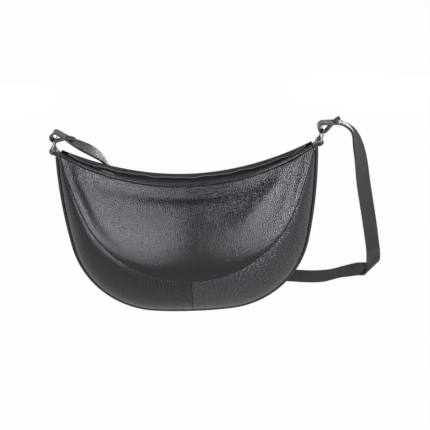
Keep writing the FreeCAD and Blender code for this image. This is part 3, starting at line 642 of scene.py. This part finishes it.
# Twill has fine slanting ribs, about 0.6 mm apart, drawn at 1.2 mm so that they show, and no shine
lining_twill, tree, shader, place = finish("cotton_twill", Roughness=0.92)
slant = add(tree, "ShaderNodeMapping", {"Vector": place, "Rotation": (0, math.radians(32), 0)})
ribs = add(tree, "ShaderNodeTexWave", {"Vector": slant.outputs[0], "Scale": 0.31 / (1.2 * MM), "Distortion": 0.6,
           "Detail": 1.0, "Detail Scale": 2.0}, bands_direction="X")
two_tone(tree, shader, scaled(tree, ribs.outputs[1], 0.6, noise(tree, place, 5, 3.0)), "#1b1a1a", "#353333")
emboss(tree, shader, ribs.outputs[1], 0.12)
for side, word in SIDES:
    lining = leather_sheet(f"{word}_lining", side, (-0.92, 0.92), lambda u: (below_mouth(u, 14.15, 10.0), 1 + 0 * u),
                           (0, 0, 0, 0), layer=(3.5, 10.0, 0.15), thick=0.7, spacing=6.0, material=lining_twill)
    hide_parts(f"lining_{word}")
    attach(lining, "bag")


# Zip tapes.
# Woven polyester tapes, sewn to the facings and turned in to the coils. The tape's upper edge stands a little
# proud and waves slightly where the row of thread pulls it.

ZIP_RADIUS = 349.397
ZIP_ANGLE = math.radians(23.086)
TAPE_COLUMNS = 161

# Tape is a close weave, with ribs 0.8 mm apart one way and 1.1 mm the other, and has a dull sheen
zip_weave, tree, shader, place = finish("polyester_tape", Roughness=0.72)
warp, weft = waves(tree, place, 0.8, 0.3, "Y"), waves(tree, place, 1.1, 0.3, "X")
cross = add(tree, "ShaderNodeMath", {0: warp, 1: weft}, operation="MULTIPLY").outputs[0]
two_tone(tree, shader, cross, "#101011", "#29292b")
emboss(tree, shader, cross, 0.15)

# A row of grains along the tape's cut upper edge is coloured pale warm grey, so that the edge shows as a pale line
# inside the mouth
overlock, tree, shader, place = finish("overlock_thread", Roughness=0.7)
two_tone(tree, shader, waves(tree, place, 1.2, 0.5, "X"), "#8a817b", "#c2b8b0")


def zip_point(angle, radius, y):
    """Points on an arc about the mouth's centre; angles are from straight down."""
    return np.stack([radius * np.sin(angle), y + 0 * angle, MOUTH_CENTRE - radius * np.cos(angle)], axis=-1)


for side, word in SIDES:
    u = np.linspace(-0.945, 0.945, TAPE_COLUMNS)
    deep = to_corner(u)
    wave = 5.2 + 0.55 * np.sin(23.0 * u + side) + 0.35 * np.sin(41.0 * u)
    top, wall, turn_in = (skin(side, u, below_mouth(u, drop * deep), (depth, *INSIDE))
                          for drop, depth in ((wave, 3.25), (7.8, 3.35), (9.0, 4.6)))
    angle = np.arcsin(turn_in[:, 0] / ZIP_RADIUS)
    # Past the stops the tapes' edges lie together
    coil_reach, closed, closes_over = 2.75, 0.3, 0.014
    inner_y = np.interp(np.abs(angle), [ZIP_ANGLE, ZIP_ANGLE + closes_over], [coil_reach, closed])
    inner = zip_point(angle, ZIP_RADIUS, side * inner_y)
    rows = [top, wall] + [turn_in + (inner - turn_in) * share for share in np.linspace(0, 1, 9)]
    strip = np.stack(rows, axis=1)
    tape = piece(f"{word}_tape", strip, grid_faces(TAPE_COLUMNS, len(rows), flip=side == FRONT), zip_weave)
    wall_thickness = tape.modifiers.new("thickness", "SOLIDIFY")
    wall_thickness.thickness = 0.6 * MM
    wall_thickness.offset = -1.0
    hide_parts(f"zip_tape_{word}")
    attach(tape, "bag")
    edge = top.copy()
    inside_top = 0.45
    edge[:, 1] -= side * inside_top
    edging = row_along(f"{word}_tape_edging", edge, pitch=0.9, half_size=(0.5, 0.5, 0.62), material=overlock)
    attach(edging, "bag")


# Zip coils.
# A moulded nylon coil sewn to the edge of each tape; it shows as a row of short rounded bars that lie across
# the zip, the two rows half a pitch apart.

# Nylon monofilament is smooth and slightly shiny, a little lighter where the slider has polished its crowns
coil_nylon, tree, shader, place = finish("nylon_monofilament", Roughness=0.34)
two_tone(tree, shader, noise(tree, place, 9, 2.0), "#0c0c0d", "#2a2a2c")
COIL_PITCH = 1.4
for side, word in SIDES:
    shift = 0.25 * side * COIL_PITCH / ZIP_RADIUS
    angle = np.linspace(-ZIP_ANGLE + 0.003, ZIP_ANGLE - 0.003, 220) + shift
    middle = zip_point(angle, ZIP_RADIUS + 0.1, side * 1.5)
    bars = row_along(f"{word}_coil", middle, COIL_PITCH, half_size=(1.15, 1.12, 0.52), material=coil_nylon)
    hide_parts(f"zip_coil_{word}")
    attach(bars, "bag")


# Zip stops, slider and pull.
# Die-cast zinc with a dark nickel finish. The stops are crimped on the coils' ends, the slider runs on the
# coils, and the flat pull hangs on the slider's bail.

# Dark nickel over tumbled zinc: a soft grey shine, cloudy, with fine rubbing marks along its length
dark_nickel, tree, shader, place = finish("dark_nickel_zinc", Metallic=1.0)
long = add(tree, "ShaderNodeMapping", {"Vector": place, "Scale": (1.0, 8.0, 8.0)})
rubbed = noise(tree, long.outputs[0], 4, 3.0)
gloss = add(tree, "ShaderNodeMapRange", {"Value": rubbed, "To Min": 0.2, "To Max": 0.46})
tree.links.new(gloss.outputs[0], shader.inputs["Roughness"])
two_tone(tree, shader, noise(tree, place, 3, 4.0), "#3d3c3d", "#6b6967")
emboss(tree, shader, rubbed, 0.02)
for node in ("zip_stops", "zip_slider", "zip_pull"):
    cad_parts[node].data.materials.clear()
    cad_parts[node].data.materials.append(dark_nickel)


# Ring tabs.
# A short strip of leather folded round the ring's lower bar, with both ends sewn between front and back and
# a row of stitches across it below the ring.

def smooth_line(knots, values, at):
    """A natural cubic through values at knots."""
    gap = np.diff(knots)
    slope = np.diff(values, axis=0) / gap[:, None]
    count = len(knots)
    left, right = np.eye(count), np.zeros_like(values)
    for i in range(1, count - 1):
        left[i, i - 1:i + 2] = gap[i - 1], 2 * (gap[i - 1] + gap[i]), gap[i]
        right[i] = 6 * (slope[i] - slope[i - 1])
    bend = np.linalg.solve(left, right)
    i = np.clip(np.searchsorted(knots, at, side="right") - 1, 0, count - 2)
    h, a, b = gap[i][:, None], (knots[i + 1] - at)[:, None], (at - knots[i])[:, None]
    line = (bend[i] * a**3 + bend[i + 1] * b**3) / (6 * h)
    return line + (values[i] / h - bend[i] * h / 6) * a + (values[i + 1] / h - bend[i + 1] * h / 6) * b


def slab_mesh(made, thickness, rim, second=0, rim_finish=0):
    """Gives a strip its thickness and soft edges, and keeps the result as a plain mesh."""
    slab = made.modifiers.new("thickness", "SOLIDIFY")
    slab.thickness = thickness * MM
    slab.offset = 0.0
    slab.material_offset = second
    slab.material_offset_rim = rim_finish
    edge = made.modifiers.new("soft_edge", "BEVEL")
    edge.width = rim * MM
    edge.segments = 2
    edge.limit_method = "ANGLE"
    edge.angle_limit = math.radians(50)
    keep_result(made)


TAB_STATIONS, TAB_HALF_WIDTH = 90, 7.6
# How far the middle of the tab's eye stands out from the corner, and the eye's radius
TAB_STAND, TAB_EYE = 9.0, 3.7
corner_middle = np.array([169.5, 0, 230.5])
tab_along = np.array([0.6, 0, -0.8])
tab_out = np.array([0.8, 0, 0.6])
for hand, word in ((1, "right"), (-1, "left")):
    bends = [(-18, 1.15), (-10, 1.15), (-3, 1.15), (2.0, 1.3), (4.7, 2.3)]
    eye = np.radians(np.linspace(110, -110, 11))
    bends += [(TAB_STAND + TAB_EYE * math.cos(turn), TAB_EYE * math.sin(turn)) for turn in eye]
    bends += [(4.7, -2.3), (2.0, -1.3), (-3, -1.15), (-10, -1.15), (-18, -1.15)]
    route = np.array([corner_middle + tab_out * a + tab_along * b for a, b in bends])
    route[:, 0] *= hand
    runs = run_along(route)
    line = smooth_line(runs, route, np.linspace(0, runs[-1] - 1e-6, TAB_STATIONS))
    columns = np.array([-1, -0.93, -0.8, -0.4, 0, 0.4, 0.8, 0.93, 1])
    grid = line[:, None] + np.array([0, TAB_HALF_WIDTH, 0]) * columns[None, :, None]
    tab = piece(f"tab_{word}", grid, grid_faces(TAB_STATIONS, len(columns), flip=hand == 1), piping_leather)
    slab_mesh(tab, thickness=2.0, rim=0.5)
    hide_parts(f"ring_tab_{word}")
    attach(tab, "bag")
    seam = corner_middle + tab_out * 2.4 - tab_along * 2.35
    across = np.stack([seam + np.array([0, y, 0]) for y in np.linspace(-6.2, 6.2, 9)])
    across[:, 0] *= hand
    stitches = row_along(f"tab_stitches_{word}", across, pitch=2.5, half_size=(0.32, 0.32, 1.0),
                         material=black_thread)
    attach(stitches, "bag")


# Rings.
# Nickel plated steel wire, 3 mm thick, bent to a rectangle with round corners and closed by a weld.

# Bright nickel: a warm light grey with a clear shine, dulled in patches by handling
ring_nickel, tree, shader, place = finish("nickel_plated_wire", Metallic=1.0)
touch = noise(tree, place, 4, 3.0)
gloss = add(tree, "ShaderNodeMapRange", {"Value": touch, "To Min": 0.14, "To Max": 0.36})
tree.links.new(gloss.outputs[0], shader.inputs["Roughness"])
two_tone(tree, shader, touch, "#575250", "#8d8683")
WIRE_RADIUS, WIRE_SIDES = 1.5, 20
# Centres of the bends, sideways and up from the lower bar, and their radius
RING_HALF, RING_TOP, RING_BEND = 10.3, 13.4, 2.6
ring_lean = math.radians(16)
ring_axis = np.array([math.sin(ring_lean), 0, math.cos(ring_lean)])
for hand, name in ((1, "ring_right"), (-1, "ring_left")):
    pivot = np.array([176.7 * hand, 0, 236.7])
    outline = []
    for y, rise, first in ((RING_HALF, RING_TOP, 0), (-RING_HALF, RING_TOP, 90), (-RING_HALF, RING_BEND, 180),
                           (RING_HALF, RING_BEND, 270)):
        for turn in np.radians(np.linspace(first, first + 90, 9)):
            outline.append((y + RING_BEND * math.cos(turn), rise + RING_BEND * math.sin(turn)))
    outline = np.array(outline)
    path = pivot + outline[:, :1] * np.array([0, 1.0, 0]) + outline[:, 1:] * ring_axis
    points = tube(path, WIRE_RADIUS, WIRE_SIDES, np.cross(ring_axis, [0, 1.0, 0]), closed=True)
    ring = piece(f"wire_{name}", points, tube_faces(len(path), WIRE_SIDES, closed=True), ring_nickel)
    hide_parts(name)
    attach(ring, name)


# Strap.
# One flat strap of pebbled cowhide, 20 mm wide and 3 mm thick with painted edges. Each end narrows to a tail
# that goes round the ring's bar and through a slit in the strap; the slack falls beside the bag, folds over
# slantwise and runs along the floor behind it.

# The grain side has clear pebbles and a satin shine; the flesh side is browner and dull, with a finer nap
strap_leather = leather("strap_cowhide", "#100f0f", "#333231", 2.1, 0.16, 0.28, strip="flat")
strap_underside = leather("strap_flesh_side", "#221f1d", "#35302d", 1.0, 0.06, 0.6, strip="flat")
# Edge paint is smooth and black, with a low round shine
edge_paint = leather("strap_edge_paint", "#121212", "#1f1f20", 0.8, 0.02, 0.36)

RIGHT_LOOP, LEFT_LOOP = np.array([181.11, 0, 254.78]), np.array([-172.29, 0, 254.78])
FOLD_TOP = np.array([262.11, 98, 26.3])
FOLD_RADIUS = 7.0
LOOP_RADIUS = 6.0
STRAP_STEP = 1.25
LEFT_DROOP = math.radians(35)


def drooped(x, z, droop):
    """A step from the middle of a loop, turned down to the right."""
    return np.array([x * math.cos(droop) + z * math.sin(droop), 0, z * math.cos(droop) - x * math.sin(droop)])


def loop_stations(centre, hand, tail, droop=0.0):
    """From the tail's tip, through the slit, round the ring's bar and on to the strap's own top."""
    made = [(centre + drooped(x, z, droop), (0, hand, 0)) for x, z in tail]
    for turn in np.radians(np.linspace(-45, -270, 13)):
        made.append((centre + drooped(LOOP_RADIUS * math.cos(turn), LOOP_RADIUS * math.sin(turn), droop), (0, hand, 0)))
    return made


# The way down beside the bag, over the slanting fold, along the floor on its edge and up to the left ring: each
# point with the direction of the strap's width there
stations = loop_stations(RIGHT_LOOP, 1, ((22.6, 12.4), (17.6, 9.2), (13.4, 5.6), (10.0, 2.2), (7.0, -1.2)))
stations += [
    ((187, 0, 260.8), (0, 1, 0)), ((194, 0, 260.9), (0, 1, 0)), ((201, 0.2, 260.4), (0, 1, 0)),
    ((207.5, 1, 258.4), (0.02, 1, 0)), ((213.5, 2.8, 254.4), (0.07, 1, 0)), ((220.6, 7, 246.4), (0.25, 1, 0)),
    ((227.5, 15, 229.8), (0.55, 0.85, 0)), ((233.4, 27, 208.1), (0.75, 0.7, 0)), ((240.3, 48, 167.9), (0.92, 0.42, 0)),
    ((248.3, 69, 124.7), (0.97, 0.3, 0)), ((256.2, 87, 81.2), (1, 0.2, 0)), ((262.1, 98, 42.3), (1, 0.05, 0)),
    (FOLD_TOP, (1, 0, 0)),
]
fold_at = len(stations) - 1
stations += [
    (FOLD_TOP + (-7.78, 7.0, -12.73), (1, 1.41, 1)), (FOLD_TOP + (-15.55, 14, -15.55), (0, 0, 1)),
    ((231.1, 109, 10.3), (0, -0.2, 1)), ((217.1, 104, 10.2), (0, -0.4, 1)), ((203.4, 96, 10.1), (0, -0.45, 1)),
    ((189.4, 90, 10.2), (0, -0.3, 1)), ((171.6, 89, 10.3), (0, -0.25, 1)), ((149.3, 94, 10.3), (0, -0.25, 1)),
    ((123.6, 101, 10.3), (0, -0.22, 1)), ((95.5, 106, 10.3), (0, -0.22, 1)), ((65.8, 109, 10.4), (0.05, -0.25, 1)),
    ((37.6, 109, 13), (0.12, -0.28, 1)), ((9.9, 107, 22), (0.25, -0.32, 0.9)), ((-16.1, 103, 38), (0.42, -0.4, 0.8)),
    ((-40.1, 96, 63.7), (0.52, -0.5, 0.66)), ((-61, 85, 97), (0.55, -0.62, 0.5)), ((-77, 71, 131), (0.52, -0.72, 0.4)),
    ((-90, 58, 160), (0.48, -0.8, 0.3)), ((-100.5, 45.8, 186), (0.4, -0.87, 0.2)),
    ((-110.5, 33.6, 207.6), (0.22, -0.95, -0.2)), ((-122, 21.5, 223.6), (0.1, -0.9, -0.45)),
    ((-136, 8.4, 236), (0.03, -0.92, -0.38)),
    (LEFT_LOOP + drooped(18, 6, LEFT_DROOP), (0, -1, -0.1)), (LEFT_LOOP + drooped(12, 6.1, LEFT_DROOP), (0, -1, -0.04)),
    (LEFT_LOOP + drooped(6, 6, LEFT_DROOP), (0, -1, 0)),
]
left_tail = ((24.5, 10.4), (20.5, 9.6), (16.6, 8.2), (13.2, 5.6), (10.0, 2.2), (7.0, -1.2))
stations += loop_stations(LEFT_LOOP, -1, left_tail, LEFT_DROOP)[::-1]
strap_points = np.array([place for place, _ in stations], float)
strap_broad = unit(np.array([broad for _, broad in stations], float))
knots = run_along(strap_points)
strap_runs = np.arange(0, knots[-1], STRAP_STEP)
strap_line = smooth_line(knots, strap_points, strap_runs)
strap_side = smooth_line(knots, strap_broad, strap_runs)
strap_ahead = unit(np.gradient(strap_line, axis=0))
strap_side = unit(strap_side - strap_ahead * (strap_side * strap_ahead).sum(axis=-1, keepdims=True))

STRAP_COLUMNS = np.array([-1, -0.9, -0.75, -0.6, -0.3, 0, 0.3, 0.6, 0.75, 0.9, 1])
end_run = np.minimum(strap_runs, strap_runs[-1] - strap_runs)
half_width = np.interp(end_run, [0, 1, 3, 6, 26, 36], [4.2, 5.2, 5.9, 6.0, 6.0, 10.0])
strap_across = half_width[:, None] * STRAP_COLUMNS
strap_grid = strap_line[:, None] + strap_side[:, None] * strap_across[..., None]

# At the fold the flat strap is rolled over a slanting line, so it bends without stretching
past_fold = strap_runs - knots[fold_at]
axis, down, out = np.array([1, 0, 1]) / math.sqrt(2), np.array([1, 0, -1]) / math.sqrt(2), np.array([0, -1.0, 0])
over = (past_fold[:, None] + strap_across) / math.sqrt(2)
along = (strap_across - past_fold[:, None]) / math.sqrt(2)
half_turn = math.pi * FOLD_RADIUS
turn = np.clip(over, 0, half_turn) / FOLD_RADIUS
flat = np.minimum(over, 0) - np.maximum(over - half_turn, 0)
rolled_strap = FOLD_TOP - out * FOLD_RADIUS + axis * along[..., None] + down * flat[..., None]
rolled_strap = rolled_strap + FOLD_RADIUS * (out * np.cos(turn)[..., None] + down * np.sin(turn)[..., None])
share = np.interp(past_fold, [-17, -10, 37, 46], [0, 1, 1, 0])
share = (share**2 * (3 - 2 * share))[:, None, None]
strap_grid = strap_grid + share * (rolled_strap - strap_grid)

# Where the roll passes into the free strap the two are eased together
ease = np.clip(4 * share * (share > 0), 0, 1)
for _ in range(24):
    softer = strap_grid.copy()
    softer[1:-1] = 0.25 * strap_grid[:-2] + 0.5 * strap_grid[1:-1] + 0.25 * strap_grid[2:]
    strap_grid = strap_grid + ease * (softer - strap_grid)

# The strap is made in two halves, one at each ring
middle_run = int(len(strap_runs) * 0.5)
for hand, loop, droop, rows, start, end in (
    ("right", RIGHT_LOOP, 0.0, slice(0, middle_run + 1), (0.250, 0.065, 0.130), (0.206, 0.0, 0.2585)),
    ("left", LEFT_LOOP, LEFT_DROOP, slice(middle_run, None), (-0.127, 0.0165, 0.2295), (-0.156, 0.0, 0.2505)),
):
    grid = strap_grid[rows]
    columns = len(STRAP_COLUMNS)
    beside, over = drooped(1, 0, droop), drooped(0, 1, droop)
    slit_out, half_long, half_wide, half_deep = 13.8, 2.4, 6.2, 1.5
    slit = loop + slit_out * beside + LOOP_RADIUS * over
    # The slit is cut in the layer above the loop, not in the tail that passes through it
    top_layer = (np.abs(strap_ahead[rows] @ over) < 0.3) & (end_run[rows] > 34)
    faces = []
    for face in grid_faces(len(grid), columns):
        from_slit = grid.reshape(-1, 3)[list(face)].mean(axis=0) - slit
        in_slit = (abs(from_slit @ beside) < half_long and abs(from_slit[1]) < half_wide
                   and abs(from_slit @ over) < half_deep)
        if not (in_slit and top_layer[face[0] // columns]):
            faces.append(face)
    strap = piece(f"strap_{hand}", grid, faces, strap_leather)
    # The strap's own map: the way along it and across it
    laid = np.stack(np.broadcast_arrays(strap_runs[rows][:, None], strap_across[rows]), axis=-1).reshape(-1, 2) * MM
    corners = np.empty(len(strap.data.loops), np.int32)
    strap.data.loops.foreach_get("vertex_index", corners)
    strap.data.uv_layers.new(name="flat").data.foreach_set("uv", laid[corners].ravel())
    strap.data.materials.append(strap_underside)
    strap.data.materials.append(edge_paint)
    slab_mesh(strap, thickness=3.0, rim=0.7, second=1, rim_finish=2)
    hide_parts("strap")
    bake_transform(strap)


# Stage.
# A white floor and a white surround. Two soft boxes and two white cards light the front, one box hangs
# overhead, and two low boxes light the back.

def either(tree, share, first, second):
    """The first shader, and the second by its share."""
    return add(tree, "ShaderNodeMixShader", {0: share, 1: first.outputs[0], 2: second.outputs[0]})


# Matt white paper, as white as the surround where the camera sees it and a little less in the leather's shine
paper = bpy.data.materials.new("white_paper")
paper.use_nodes = True
tree = paper.node_tree
tree.nodes.clear()
matt = add(tree, "ShaderNodeBsdfDiffuse", {"Color": colour("#f4f4f4")})
glow = add(tree, "ShaderNodeEmission", {"Color": (1, 1, 1, 1), "Strength": 1.0})
ray = add(tree, "ShaderNodeLightPath")
shown = either(tree, 0.98, matt, glow)
mirrored = add(tree, "ShaderNodeEmission", {"Color": (1, 1, 1, 1), "Strength": 0.9})
other = either(tree, ray.outputs["Is Glossy Ray"], matt, mirrored)
both = either(tree, ray.outputs["Is Camera Ray"], other, shown)
add(tree, "ShaderNodeOutputMaterial", {"Surface": both.outputs[0]})
FLOOR_HALF, FLOOR_HEIGHT = 4000, -0.3
floor_corners = [(x * FLOOR_HALF, y * FLOOR_HALF, FLOOR_HEIGHT) for x, y in ((-1, -1), (1, -1), (1, 1), (-1, 1))]
floor = piece("floor", floor_corners, [(0, 1, 2, 3)], paper)

world = bpy.data.worlds.new("studio")
bpy.context.scene.world = world
world.use_nodes = True
tree = world.node_tree
tree.nodes.clear()
ray = add(tree, "ShaderNodeLightPath")
way = add(tree, "ShaderNodeSeparateXYZ", {"Vector": add(tree, "ShaderNodeTexCoord").outputs["Generated"]})
# A dark room in front of the bag and a white one behind it, as mirrored in the leather
sweep = add(tree, "ShaderNodeMapRange", {"Value": way.outputs["Y"], "From Min": -0.85, "From Max": 0.15,
            "To Min": 0.06, "To Max": 1.0}, interpolation_type="SMOOTHSTEP")
dim = add(tree, "ShaderNodeBackground", {"Color": colour("#e8ecf2"), "Strength": 0.2})
mirrored = add(tree, "ShaderNodeBackground", {"Color": colour("#f2f5fa"), "Strength": sweep.outputs[0]})
white = add(tree, "ShaderNodeBackground", {"Color": (1, 1, 1, 1), "Strength": 1.0})
shone = either(tree, ray.outputs["Is Glossy Ray"], dim, mirrored)
both = either(tree, ray.outputs["Is Camera Ray"], shone, white)
add(tree, "ShaderNodeOutputWorld", {"Surface": both.outputs[0]})


def soft_box(name, place, aim, size, power, tint):
    """A rectangle of light that faces its aim; places and sizes in metres, power in watts."""
    lamp = bpy.data.lights.new(name, "AREA")
    lamp.shape = "RECTANGLE"
    lamp.size, lamp.size_y = size
    lamp.energy = power
    lamp.color = colour(tint)[:3]
    made = put(name, lamp)
    made.visible_camera = False
    back = np.array(place, float) - np.array(aim, float)
    back /= np.linalg.norm(back)
    side = np.cross([0, 0, 1.0], back)
    side /= np.linalg.norm(side)
    rise = np.cross(back, side)
    made.matrix_world = Matrix([[side[i], rise[i], back[i], place[i]] for i in range(3)] + [[0, 0, 0, 1]])


AIM = (0.0, 0.0, 0.12)
soft_box("left_box", (-0.40, -1.55, 0.46), AIM, (0.25, 0.72), 10.3, "#f2f5ff")
soft_box("left_card", (-0.285, -1.00, 0.06), (-0.285, -0.90, 0.9), (0.25, 0.80), 8.5, "#f2f5ff")
soft_box("right_box", (0.565, -1.50, 0.46), AIM, (0.33, 0.72), 12.0, "#f4f6ff")
soft_box("right_card", (0.42, -1.00, 0.06), (0.42, -0.90, 0.9), (0.34, 0.80), 10.5, "#f4f6ff")
soft_box("top_box", (0.0, 0.1, 1.9), AIM, (1.6, 1.2), 5.0, "#ffffff")
soft_box("back_left_box", (-0.75, 1.45, 0.16), AIM, (0.55, 0.32), 5.0, "#f4f6ff")
soft_box("back_right_box", (0.62, 1.50, 0.16), AIM, (0.50, 0.32), 5.0, "#f4f6ff")


# Camera.
# In front of the bag, 18 degrees above it and slightly rolled, with the frame of the photograph.

elevation, roll, distance = math.radians(18.0), math.radians(2.0), 1.65
aim = np.array([0.0345, 0.0, 0.138])
back = np.array([0.0, -math.cos(elevation), math.sin(elevation)])
right, up = np.array([1.0, 0.0, 0.0]), np.cross(back, [1.0, 0.0, 0.0])
right, up = math.cos(roll) * right - math.sin(roll) * up, math.sin(roll) * right + math.cos(roll) * up
lens = bpy.data.cameras.new("camera")
lens.sensor_width = 36.0
lens.lens = 102.3
camera = put("camera", lens)
place = aim + back * distance
camera.matrix_world = Matrix([[right[i], up[i], back[i], place[i]] for i in range(3)] + [[0, 0, 0, 1]])
bpy.context.scene.camera = camera
bpy.context.scene.view_settings.view_transform = "Standard"
